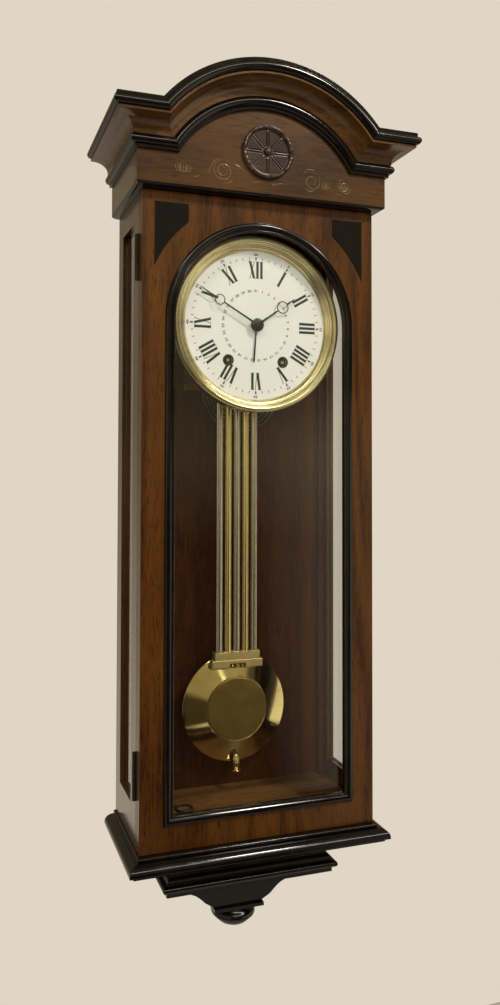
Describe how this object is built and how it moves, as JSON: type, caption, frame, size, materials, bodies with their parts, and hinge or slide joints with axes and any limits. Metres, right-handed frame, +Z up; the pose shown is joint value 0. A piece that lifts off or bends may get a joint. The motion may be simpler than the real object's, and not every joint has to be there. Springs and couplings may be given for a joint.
{
  "type": "regulator wall clock",
  "caption": "Wall clock with an arched hood, a glazed arch-topped door, a round dial in a stepped bezel, a gridiron pendulum with a disc bob and a turned foot bracket.",
  "frame": {"origin": "top of the keyhole slot where the shank of the wall screw rests, on the wall plane", "axes": "+X to the viewer's right, +Y into the wall, +Z up"},
  "size_m": [0.392, 0.181, 1.0918],
  "materials": {
    "case_wood": "French-polished rosewood veneer, glossy",
    "dark_wood": "dark stained, satin",
    "floor_wood": "golden varnish",
    "carved_wood": "turned and carved, dark polish",
    "ebonised_wood": "ebonised, high gloss",
    "glass": "clear",
    "brass": "pale, polished and lacquered",
    "steel": "bright, a little dulled",
    "black_steel": "blackened steel",
    "cast_iron": "black paint on iron",
    "dial_paint": "cream painted metal, satin"
  },
  "bodies": {
    "case": {"side_panel_left": "case_wood", "side_glass_left": "glass", "side_panel_right": "case_wood", "side_glass_right": "glass", "backboard": "dark_wood", "hanging_plate": "brass", "case_floor": "floor_wood", "case_top": "dark_wood", "frieze_fillet": "ebonised_wood", "pediment_board": "case_wood", "frieze_bead": "ebonised_wood", "cornice_cove": "case_wood", "crown_moulding": "ebonised_wood", "rosette": "carved_wood", "hood_side_left": "case_wood", "hood_side_right": "case_wood", "hood_roof": "dark_wood", "upper_hinge_case_leaf": "black_steel", "lower_hinge_case_leaf": "black_steel", "base_moulding": "ebonised_wood", "stepped_moulding": "ebonised_wood", "wall_bracket": "ebonised_wood", "turned_boss": "ebonised_wood", "dial": "dial_paint", "bezel": "brass", "front_plate": "brass", "back_plate": "brass", "back_cock": "brass", "movement_bracket": "cast_iron", "gong_coil": "black_steel", "gong_post": "cast_iron"},
    "door": {"door_frame": "case_wood", "door_beading": "ebonised_wood", "door_glass": "glass", "spandrel_left": "ebonised_wood", "spandrel_right": "ebonised_wood", "upper_hinge_door_leaf": "black_steel", "lower_hinge_door_leaf": "black_steel"},
    "pendulum": {"suspension_spring": "steel", "top_crossbar_and_stem": "brass", "steel_rod_left": "steel", "brass_rod_left": "brass", "steel_rod_centre": "steel", "brass_rod_right": "brass", "steel_rod_right": "steel", "lower_crossbar": "brass", "rating_rod": "steel"},
    "bob": {"bob": "brass"},
    "rating_nut": {"rating_nut": "brass"},
    "crutch": {"anchor_and_crutch": "steel"},
    "escape_wheel": {"escape_wheel": "brass"},
    "minute": {"minute_hand": "black_steel", "centre_wheel": "brass"},
    "hour": {"hour_hand": "black_steel"},
    "date": {"date_hand": "black_steel"},
    "going_barrel": {"going_barrel": "brass"},
    "strike_barrel": {"strike_barrel": "brass"},
    "going_arbor": {"going_winding_arbor": "steel"},
    "strike_arbor": {"strike_winding_arbor": "steel"},
    "hammer": {"hammer": "steel"}
  },
  "joints": [
    {"name": "door_hinge", "type": "hinge", "parent": "case", "child": "door", "pos_m": [-0.1534, -0.1137, -0.35], "axis": [0, 0, -1], "range_deg": [0, 105]},
    {"name": "pendulum_swing", "type": "hinge", "parent": "case", "child": "pendulum", "pos_m": [0, -0.041, -0.052], "axis": [0, 1, 0], "range_deg": [-3, 3]},
    {"name": "crutch_rock", "type": "hinge", "parent": "case", "child": "crutch", "pos_m": [0, -0.041, -0.052], "axis": [0, 1, 0], "range_deg": [-3, 3]},
    {"name": "bob_slide", "type": "slide", "parent": "pendulum", "child": "bob", "axis": [0, 0, 1], "range_m": [-0.0015, 0.0015]},
    {"name": "rating_nut_turn", "type": "hinge", "parent": "bob", "child": "rating_nut", "pos_m": [0, -0.041, -0.68], "axis": [0, 0, 1], "range_deg": [-1080, 1080]},
    {"name": "escape_turn", "type": "hinge", "parent": "case", "child": "escape_wheel", "pos_m": [0, -0.065, -0.078], "axis": [0, 1, 0], "continuous": true},
    {"name": "minute_turn", "type": "hinge", "parent": "case", "child": "minute", "pos_m": [0, -0.1, -0.1152], "axis": [0, 1, 0], "continuous": true},
    {"name": "hour_turn", "type": "hinge", "parent": "case", "child": "hour", "pos_m": [0, -0.1, -0.1152], "axis": [0, 1, 0], "continuous": true},
    {"name": "date_turn", "type": "hinge", "parent": "case", "child": "date", "pos_m": [0, -0.1, -0.1152], "axis": [0, 1, 0], "continuous": true},
    {"name": "going_barrel_turn", "type": "hinge", "parent": "case", "child": "going_barrel", "pos_m": [0.0366, -0.08, -0.16], "axis": [0, 1, 0], "continuous": true},
    {"name": "strike_barrel_turn", "type": "hinge", "parent": "case", "child": "strike_barrel", "pos_m": [-0.0366, -0.08, -0.16], "axis": [0, 1, 0], "continuous": true},
    {"name": "going_winding", "type": "hinge", "parent": "case", "child": "going_arbor", "pos_m": [0.0366, -0.1, -0.16], "axis": [0, 1, 0], "continuous": true},
    {"name": "strike_winding", "type": "hinge", "parent": "case", "child": "strike_arbor", "pos_m": [-0.0366, -0.1, -0.16], "axis": [0, 1, 0], "continuous": true},
    {"name": "hammer_swing", "type": "hinge", "parent": "case", "child": "hammer", "pos_m": [0.056, -0.05, -0.0852], "axis": [0, -1, 0], "range_deg": [0, 14]}
  ],
  "couplings": [
    {"joint": "crutch_rock", "follows": "pendulum_swing", "ratio": 1},
    {"joint": "rating_nut_turn", "follows": "bob_slide", "rad_per_m": 12560},
    {"joint": "minute_turn", "follows": "going_barrel_turn", "ratio": -8},
    {"joint": "hour_turn", "follows": "going_barrel_turn", "ratio": -0.66667},
    {"joint": "date_turn", "follows": "going_barrel_turn", "ratio": -0.010753}
  ]
}
